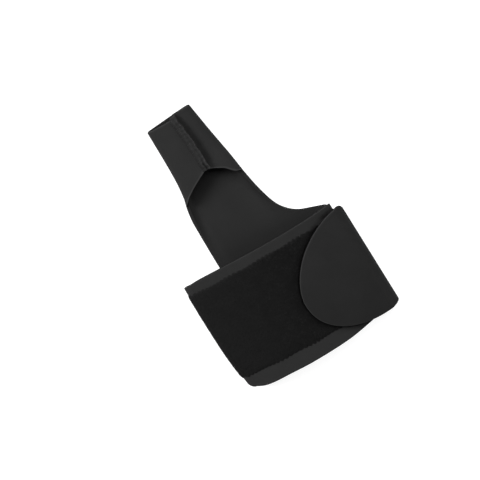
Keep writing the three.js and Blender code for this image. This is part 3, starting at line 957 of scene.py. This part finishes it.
    def right_painted_shade(self):
        """Painted light and shade on the right side: a painted shadow darkest beside the ridge, above all
        near the arch.
        """
        fade = ease(self.up, ARCH_TOP, 0.8)
        near = 1 - ease(self.from_ridge[:, self.left.shape[1]:], 0.0, 8.0)
        flap = lerp(0.48, 0.3, fade) - lerp(0.42, 0.06, fade) * near * self.in_tube()
        lit = PANEL_RIGHT_LIGHT * ease(self.up, 0.0, 0.2)
        flat = self.panel_painted_shade() + lit - 0.04 * ease(self.right, 0.0, 3.0)
        return lerp(flat, flap, ease(self.up, 0.38, ARCH_FOOT) * ease(self.right, 1.0, 4.0))


def cuff_painted_shade(stretch, share, height):
    """Painted light and shade on the cuff: even along a stretch but for its row in the table."""
    start, end, upwards, middle = CUFF_PAINTED_SHADE[stretch]
    dip = middle * ease(share, 0.1, 0.35) * (1 - ease(share, 0.6, 0.8))
    return lerp(start, end, share) - dip + upwards * (1 + height / CUFF_HEIGHT)


grid = BraceGrid()
sheet_cut = grid.cut()
outer_face = grid.place(HALF)
cad_high = np.array(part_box("brace_body")[1]) / MM
# From the maker's own frame to the part's, whose far sides are the right fold and the sleeve's mouth
SHIFT = np.array([cad_high[0] - outer_face[:, 0].max(), cad_high[1] - outer_face[:, 1].max(), 0.0])


def beside_tab(x, y):
    """1 where a painted contact shadow lies along the tab's edge, 0 from a short way off: an ease of the
    distance to the tab's outline."""
    reach = (TAB_REACH - TAB_ROOT_INSET) * (1 - np.sin(np.linspace(0, QUARTER_TURN, 80)))
    run = CUFF_WIDTH - TAB_REACH + reach
    low, top = tab_rims(run, 0.0)
    outline = joined(np.concatenate([run, run[::-1]]), np.concatenate([low, top[::-1]]))
    steps = np.arange(len(outline) - 1)
    edges = np.stack([steps, steps + 1], axis=1)
    return 1 - ease(distance_to_edges(joined(x, y), edges, outline), 0.15, 1.5)


def brace_sheet():
    """The sheet's two faces: half of the thickness to each side, less towards the cut edge, where the
    corners are rounded. Both faces share a soft unevenness where the cloth hangs free, the hollows
    beside the ridge and the left fold's full upper corner."""
    middle = grid.place(0.0)
    from_rim = distance_to_edges(middle, lone_edges(grid.cells), middle)
    thick = HALF * (1 - RIM_ROUNDING * (1 - quarter_circle(from_rim / RIM_REACH)))
    ends = ("strap", "tab")
    free = grid.join(lambda name, *_: float(name in ends), ease(grid.rolled, 4.0, 12.0))
    across, along = sheet_cut[:, 0], sheet_cut[:, 1]
    soft = SHEET_UNEVEN * free * ripple(across, along, (31.0, 43.0, 22.0, 57.0), 5)
    off_fold = (across - FOLD_MIDDLE) / FOLD_SWELL_SPAN
    corner = ease(along, -LOOP_INSET - 1.5, -LOOP_INSET) * np.exp(-off_fold**2)
    soft = soft - grid.hollow() + FOLD_CORNER_SWELL * corner
    outer = grid.place(thick + soft)
    points, faces, origin, core = two_faced(outer, grid.place(soft - thick), grid.cells)

    number = np.arange(len(origin))
    on_outer = number < len(outer)
    on_inner = ~on_outer & (number < 2 * len(outer))
    # Painted highlight along the cut edges, partly a paler cut edge, wider along the arch's lips
    lip = grid.join(lambda *_: 0.0, grid.at_arch())
    pale = (grid.edge_light() * (1 - ease(from_rim, 0.1 + 0.35 * lip, 0.65 + 0.4 * lip)))[origin]
    # Painted contact shadow on the strap along the tab's edge
    tab_shadow = np.zeros(len(middle))
    on_strap = across < STRAP_FACE_END
    tab_shadow[on_strap] = 0.8 * beside_tab(middle[on_strap, 0], middle[on_strap, 1])
    tab_shadow = tab_shadow[origin] * on_outer
    curl = grid.join(lambda *_: 1.0, ease(grid.up, 0.42, 0.5))
    # Marks: painted highlight on the rims, the dark foam core on the wall, less dark below the arch and
    # partly painted shade, painted contact shadow by the tab, and painted light and shade on the face
    marks = {
        "rim": np.where(on_inner, INNER_RIM_LIGHT, 1.0) * pale * (1 - tab_shadow),
        "core": np.maximum(core * lerp(0.35, 1.0, curl)[origin], tab_shadow),
        "shade": grid.colouring()[origin],
    }
    return make_piece("brace_sheet", points, faces, JERSEY, sheet_cut[origin], marks)


sheet = brace_sheet()
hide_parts("brace_body")

# Loop field


class Layer:
    """A thin layer on the cuff, as a grid of lines over some of its stretches between two rims. It
    has its cells, each point's height and distance from the rim, and its swell, a quarter circle
    that reaches 1 at the rounding's distance. The waver moves the rims in and out."""

    def __init__(self, columns, rims, rows, under, rounding, waver=None):
        self.columns = columns
        self.heights = []
        for stretch, shares in columns:
            low, top = rims(middle_x(stretch, shares))
            out = 0.0 if waver is None else waver(stretch, shares)
            self.heights.append(between_rims(low - out, top + out, rows))
        self.along = np.concatenate([height.reshape(-1) for height in self.heights])
        lines = sum(len(shares) for _, shares in columns)
        self.cells = grid_cells(np.arange(self.along.size).reshape(lines, -1))
        flat = self.place(under)
        self.from_rim = distance_to_edges(flat, lone_edges(self.cells), flat)
        self.swell = quarter_circle(self.from_rim / rounding)

    def place(self, lift):
        """Every point for a lift, which is one for all or one for each."""
        return cuff_grid(self.columns, self.heights, np.broadcast_to(lift, self.along.shape))


def loop_rims(x):
    """The loop field's lower and upper height across the cuff: a strip of even height that slopes
    and bows a little."""
    across = x / CUFF_WIDTH
    upper = -LOOP_INSET - LOOP_SLOPE * across
    return upper - LOOP_HEIGHT, upper + LOOP_BOW * np.sin(math.pi * np.clip(across, 0.0, 1.0))


def loop_columns():
    """Shares along the strap and round the left fold that the loop field covers."""
    start = (LOOP_END_BORDER + RIM_STEPS) / STRAP_RUN
    strap = np.concatenate([start, lerp(start[-1], 1.0, even_shares(149))])
    fold = LOOP_WRAP * np.concatenate([0.85 * even_shares(15), [0.93, 0.97, 0.99, 1.0]])
    return [("strap", strap), ("left_fold", fold)]


def loop_run(stretch, shares):
    """Distance from the strap's end as the loop field's cloth is marked, the fold's part drawn in."""
    return shares * STRAP_RUN if stretch == "strap" else STRAP_RUN + shares * LOOP_FOLD_RUN


def loop_waver(stretch, shares):
    """Uneven teeth along the loop field's rims, where the needle went over its edge."""
    run = loop_run(stretch, shares)
    teeth = np.abs(np.sin(math.pi * run / LOOP_TOOTH + 1.3 * np.sin(run / 7.0)))
    return 1.3 * teeth * (0.7 + 0.3 * np.sin(run / 3.7)) - 0.6


def loop_shade(run):
    """Painted light and shade: paler towards the left fold, darker towards the strap's end."""
    return lerp(LOOP_SHADE_RIGHT, LOOP_SHADE_LEFT, ease(run, 20.0, 118.0))


def loop_ground(swell, run, height):
    """How high the loop fabric's ground lies: up from its stitched edge by a share of the swell, and
    a little fuller from where the run along the strap nears the left fold, save at its lower end."""
    near_fold = ease(run, STRAP_RUN - 6.0, STRAP_RUN + 2.0)
    fuller = FOLD_LOOP_SWELL * near_fold * ease(height, -66.0, -48.0)
    return lerp(LOOP_UNDER + 0.12, LOOP_GROUND + fuller, swell)


def loop_backing():
    """The loop fabric's ground: a thin cloth that swells a little between its stitched edges."""
    layer = Layer(loop_columns(), loop_rims, 40, LOOP_UNDER, LOOP_SWELL_REACH, loop_waver)
    run = np.concatenate([
        np.repeat(loop_run(stretch, shares), height.shape[1])
        for (stretch, shares), height in zip(layer.columns, layer.heights)
    ])
    bumpy = 0.05 * ripple(-run, layer.along, (9.0, 13.0, 6.0), 11) * layer.swell
    upper = layer.place(loop_ground(layer.swell, run, layer.along) + bumpy)
    points, faces, origin, _ = two_faced(upper, layer.place(LOOP_UNDER), layer.cells)
    flat = layer.place(0.0)
    # Marks: a paler stitched edge, painted light and shade across the field, and painted contact shadow
    # along the tab's edge
    marks = {
        "rim": (1 - ease(layer.from_rim, 0.1, 0.8))[origin],
        "shade": loop_shade(run)[origin],
        "tab_shadow": beside_tab(flat[:, 0], flat[:, 1])[origin],
    }
    cut = joined(-run, layer.along)[origin]
    return make_piece("loop_backing", points, faces, LOOPS, cut, marks)


def pile_feet(rng):
    """Where the loops of thread stand: a jittered grid of runs and heights, with the distance across
    and to the nearer rim, left out at the rims and under the tab."""
    runs = np.arange(LOOP_END_BORDER + 0.6, STRAP_RUN + 5.0, LOOP_PITCH)
    run, y = np.meshgrid(runs, np.arange(-76.0, -2.0, LOOP_PITCH), indexing="ij")
    run = (run + rng.uniform(-0.45, 0.45, run.shape)).reshape(-1)
    y = (y + rng.uniform(-0.45, 0.45, y.shape)).reshape(-1)
    on_strap = run <= STRAP_RUN
    x = np.where(on_strap, middle_x("strap", np.where(on_strap, run / STRAP_RUN, 0.5)), 0.0)
    low, top = loop_rims(x)
    tab_low, tab_top = tab_rims(x, HOOK_INSET)
    under_tab = (x > CUFF_WIDTH - TAB_REACH + HOOK_INSET) & (y > tab_low) & (y < tab_top)
    on_fold = np.clip((run - STRAP_RUN) / run_of("left_fold"), 0.0, LOOP_WRAP)
    kept = (y > low + 0.7) & (y < top - 0.7) & ~under_tab & (on_fold < LOOP_WRAP - 0.02)
    return run[kept], y[kept], x[kept], np.minimum(y - low, top - y)[kept]


def field_point(run, y, lift):
    """A place over the loop field: on the strap up to its run, and from there on the left fold."""
    on_strap = cuff_point("strap", np.clip(run / STRAP_RUN, 0, 1), y, lift)
    fold = np.clip((run - STRAP_RUN) / run_of("left_fold"), 0, LOOP_WRAP)
    return np.where((run <= STRAP_RUN)[:, None], on_strap, cuff_point("left_fold", fold, y, lift))


def loop_pile():
    """Loops of thread all over the field: each is a low arch, its feet a little apart in a random
    direction, leaning aside, of three-sided thread."""
    rng = np.random.default_rng(21)
    run, y, x, edge = pile_feet(rng)
    turn = rng.uniform(0, 2 * math.pi, len(run))
    spread = rng.uniform(0.35, 0.65, len(run))
    tall = rng.uniform(0.16, 0.42, len(run))
    lean = rng.uniform(-0.35, 0.35, len(run))
    ground = loop_ground(quarter_circle(edge / LOOP_SWELL_REACH), run, y) - 0.1
    stages = []
    for t in np.linspace(-1, 1, 5):
        arch = math.cos(t * QUARTER_TURN)
        out_run = spread * t * np.cos(turn) - lean * arch * np.sin(turn)
        out_y = spread * t * np.sin(turn) + lean * arch * np.cos(turn)
        stages.append(field_point(run + out_run, y + out_y, ground + (tall + 0.1) * arch))
    points, faces = tubes(np.stack(stages, axis=1), 0.05, 3, closed_ends=False)
    each = len(points) // len(run)
    # Marks: randomly paler loops, painted light and shade across the field, and painted contact shadow
    # along the tab's edge
    marks = {
        "rim": np.repeat(rng.uniform(0.0, 0.35, len(run)), each),
        "shade": np.repeat(loop_shade(run), each),
        "tab_shadow": np.repeat(beside_tab(x, y), each),
    }
    cut = np.repeat(joined(-run, y), each, axis=0)
    return make_piece("loop_pile", points, faces, LOOPS, cut, marks, smooth_angle=None)


backing = loop_backing()
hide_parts("loop_field")
pile = loop_pile()

# Hook tape


def hook_tape():
    """The tape under the tab: the tab's outline drawn smaller, on the face that meets the loops."""
    inset = HOOK_INSET / run_of("tab")
    shares = lerp(inset, 1 - inset, np.sin(np.linspace(0, QUARTER_TURN, 40)))
    outer = -HALF - 0.05
    inner = -HALF - GAP - HOOK
    layer = Layer([("tab", shares)], lambda x: tab_rims(x, HOOK_INSET), 30, inner, 0.6)
    lower = layer.place(lerp(outer - 0.3, inner, layer.swell))
    points, faces, origin, _ = two_faced(layer.place(outer), lower, layer.cells)
    across = np.repeat(shares * HOOK_CUT_RUN, layer.heights[0].shape[1])
    cut = joined(across, layer.along)[origin]
    return make_piece("hook_tape", points, faces, HOOKS, cut)


tape = hook_tape()
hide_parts("hook_patch")

# Thumb seam


def flap_end(section, side, inset, lift):
    """A place on a flap of the sleeve, as far in from the flap's end as the inset says."""
    return sleeve_point(section, side, section[side]["length"] - inset, lift)


def seam_frame(along, aside, rise_share):
    """A place on the seam's round top: along runs from the arch to the mouth, aside across from
    -0.5 at the left, and the rise is a share of the full height there."""
    section = sleeve_section(lerp(ARCH_TOP, 1.0, along))
    left = flap_end(section, "left_side", 0.0, HALF)
    right = flap_end(section, "right_side", 0.0, HALF)
    middle = (left + right) / 2
    turns = along * (1 - ARCH_TOP) * MOUTH_HEIGHT / SEAM_WAVE_LENGTH
    wave = SEAM_WAVE * (0.55 * np.sin(2 * math.pi * turns) + 0.6 * np.sin(3.7 * turns + 1.0))
    taper = lerp(0.55, 1.0, ease(np.minimum(along, 1 - along), 0.0, 0.09))
    upright = 1 - 0.9 * ease(along, 0.55, 1.0)
    x = middle[..., 0] + aside * SEAM_WIDTH + (SEAM_LEAN * upright + wave) * rise_share
    z = np.maximum(left[..., 2], middle[..., 2]) + rise_share * SEAM_RISE * taper
    return joined(x, middle[..., 1], z)


def crown(aside):
    """The ridge's top as a share of its rise: a power curve from a peak right of its middle, gentle
    towards the left and steep towards the right."""
    from_peak = 2 * np.clip(aside, -0.5, 0.5) - SEAM_PEAK
    side = np.where(from_peak < 0, 1 + SEAM_PEAK, 1 - SEAM_PEAK)
    return 0.5 + 0.55 * (1 - np.abs(from_peak / side) ** 2.2)


def seam_ridge():
    """The two flaps' edges held upright together: a round top with a groove between the layers,
    pinched at each stitch, its underside following both flaps."""
    along = np.linspace(0, 1, 220)[:, None]
    aside = np.linspace(-0.5, 0.5, 23)[None, :]
    deep = 0.08 + 0.55 * (1 - ease(along, 0.04, 0.24))
    groove = deep * np.exp(-((aside + 0.03) / 0.13) ** 2)
    uneven = 2 * math.pi * along * STITCHES + 1.5 * np.sin(9.0 * along)
    pinch = 0.05 * np.cos(uneven) * (1 - np.abs(2 * aside) ** 3)
    top = seam_frame(along, aside, crown(aside) - groove + pinch)
    section = sleeve_section(lerp(ARCH_TOP, 1.0, along))
    overhang = SEAM_WIDTH / 2 - FLAP_END_INSET
    seats = (("right_side", overhang), ("right_side", 0.0), ("left_side", 0.0), ("left_side", overhang))
    under = [flap_end(section, side, inset, HALF + 0.04) for side, inset in seats]
    ring = np.concatenate([top, *under], axis=1)
    rows, wide, _ = ring.shape
    numbers = np.arange(rows * wide).reshape(rows, wide)
    faces = grid_cells(np.concatenate([numbers, numbers[:, :1]], axis=1))[:, ::-1].tolist()
    faces += [numbers[0].tolist(), numbers[-1, ::-1].tolist()]
    cut_across = np.linspace(0, SEAM_CUT_WIDTH, wide)[None, :]
    cut = joined(cut_across, along * SEAM_CUT_LENGTH)
    # Painted highlight along the crest, most right of its peak and brighter near the arch end; painted
    # shade in the groove
    crest = 1.2 * np.exp(-((aside - 0.30) / 0.16) ** 2) + 0.4 * np.exp(-((aside + 0.24) / 0.14) ** 2)
    near_arch_end = 1 - ease(along, 0.1, 0.3)
    on_top = ((0, 0), (0, wide - aside.size))
    marks = {
        "rim": np.pad((0.2 + 0.5 * near_arch_end) * crest, on_top).reshape(-1),
        "shade": 0.30 - 0.9 * np.pad(groove, on_top).reshape(-1),
    }
    return make_piece("seam_ridge", ring.reshape(-1, 3), faces, JERSEY, cut.reshape(-1, 2), marks)


def seam_threads():
    """Overlock thread: uneven bars over the ridge's left line, a run of straight stitches beside them,
    each sunk into the cloth at both of its ends, and a chain along the crest."""
    rng = np.random.default_rng(8)
    t = np.linspace(0, 1, 9)[None, :]
    sunk = 0.34 * (2 * np.abs(t - 0.5)) ** 4
    one_each = (STITCHES, 1)
    paths = []
    for first, last, slant in ((-0.54, -0.2, 0.35), (-0.2, -0.16, 0.6)):
        along = (np.arange(STITCHES)[:, None] + 0.5 + rng.uniform(-0.22, 0.22, one_each)) / STITCHES
        aside = lerp(first, last, t) + rng.uniform(-0.06, 0.06, one_each)
        slants = slant * rng.uniform(0.2, 1.6, one_each)
        deeper = rng.choice([0.0, 0.04, 0.08, 0.3], one_each)
        along = np.clip(along + slants * (t - 0.5) / STITCHES, 0, 1)
        paths.append(seam_frame(along, aside, crown(aside) + 0.04 - sunk - deeper))
    bars, bar_faces = tubes(np.concatenate(paths), 0.12, 6)
    run = np.linspace(0.004, 0.94, 160)[None, :]
    aside = 0.30 + 0.05 * np.sin(2 * math.pi * run * STITCHES)
    chain, chain_faces = tubes(seam_frame(run, aside, crown(aside) + 0.01), 0.13, 6)
    faces = bar_faces + [[number + len(bars) for number in face] for face in chain_faces]
    return make_piece("seam_threads", np.concatenate([bars, chain]), faces, THREAD, smooth_angle=None)


ridge = seam_ridge()
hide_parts("thumb_seam")
threads = seam_threads()

# Cloth facts


def face_area(piece):
    """Half of a closed thin piece's surface, in square metres."""
    areas = np.empty(len(piece.data.polygons), dtype=np.float32)
    piece.data.polygons.foreach_get("area", areas)
    return float(areas.sum()) / 2


cut_span = sheet_cut.max(axis=0) - sheet_cut.min(axis=0)
tuple(cut_span * MM)
face_area(sheet)
face_area(tape)

# Floor, lights and camera
CAMERA_TIP = math.radians(12.0)
CAMERA_TURN = math.atan2(0.515, 0.857)
CAMERA_DISTANCE = 2.0
CAMERA_LENS = 250.0
CAMERA_AIM = (43.224, 9.23, 6.0)
FLOOR_REACH = 1.5
FLOOR_DROP = 0.0002


def floor():
    """A level square sheet of paper under the splint."""
    edge = np.linspace(-FLOOR_REACH, FLOOR_REACH, 13)
    x, y = np.meshgrid(edge, edge, indexing="ij")
    mesh = bpy.data.meshes.new("floor")
    points = joined(x, y, -FLOOR_DROP).reshape(-1, 3)
    cells = grid_cells(np.arange(x.size).reshape(x.shape))[:, ::-1]
    mesh.from_pydata(points.tolist(), [], cells.tolist())
    mesh.materials.append(PAPER)
    return add_object("floor", mesh)


def area_light(name, place, size, power):
    """A square soft light that faces the splint."""
    light = bpy.data.lights.new(name, "AREA")
    light.shape = "SQUARE"
    light.size = size
    light.energy = power
    lamp = add_object(name, light)
    lamp.location = place
    lamp.rotation_euler = (-place).to_track_quat("-Z", "Y").to_euler()


# The camera looks down at the splint, tipped towards the wrist and turned so that the thumb points
# to the upper left; it stands far off, because the photograph shows hardly any perspective
level_right = Vector((1.0, 0.0, 0.0))
level_up = Vector((0.0, math.cos(CAMERA_TIP), -math.sin(CAMERA_TIP)))
toward_camera = level_right.cross(level_up)
right = level_right * math.cos(CAMERA_TURN) - level_up * math.sin(CAMERA_TURN)
upward = level_right * math.sin(CAMERA_TURN) + level_up * math.cos(CAMERA_TURN)
camera_data = bpy.data.cameras.new("camera")
camera_data.lens = CAMERA_LENS
camera_data.sensor_width = 36.0
camera = add_object("camera", camera_data)
stand = Matrix((right, upward, toward_camera)).transposed().to_4x4()
stand.translation = (Vector(CAMERA_AIM) + Vector(SHIFT)) * MM + toward_camera * CAMERA_DISTANCE
camera.matrix_world = stand
bpy.context.scene.camera = camera

floor()
area_light("key", right * -0.95 + upward * 0.15 + toward_camera * 0.95, 0.5, 25.0)
area_light("fill", right * 1.15 + upward * 0.25 + toward_camera * 0.75, 0.5, 9.0)
area_light("overhead", upward * 0.6 + toward_camera * 1.35, 1.0, 14.0)
world = bpy.data.worlds.new("studio")
world.use_nodes = True
world.node_tree.nodes["Background"].inputs["Color"].default_value = WHITE
world.node_tree.nodes["Background"].inputs["Strength"].default_value = 0.13
bpy.context.scene.world = world
bpy.context.scene.view_settings.view_transform = "Standard"

bpy.context.view_layer.update()
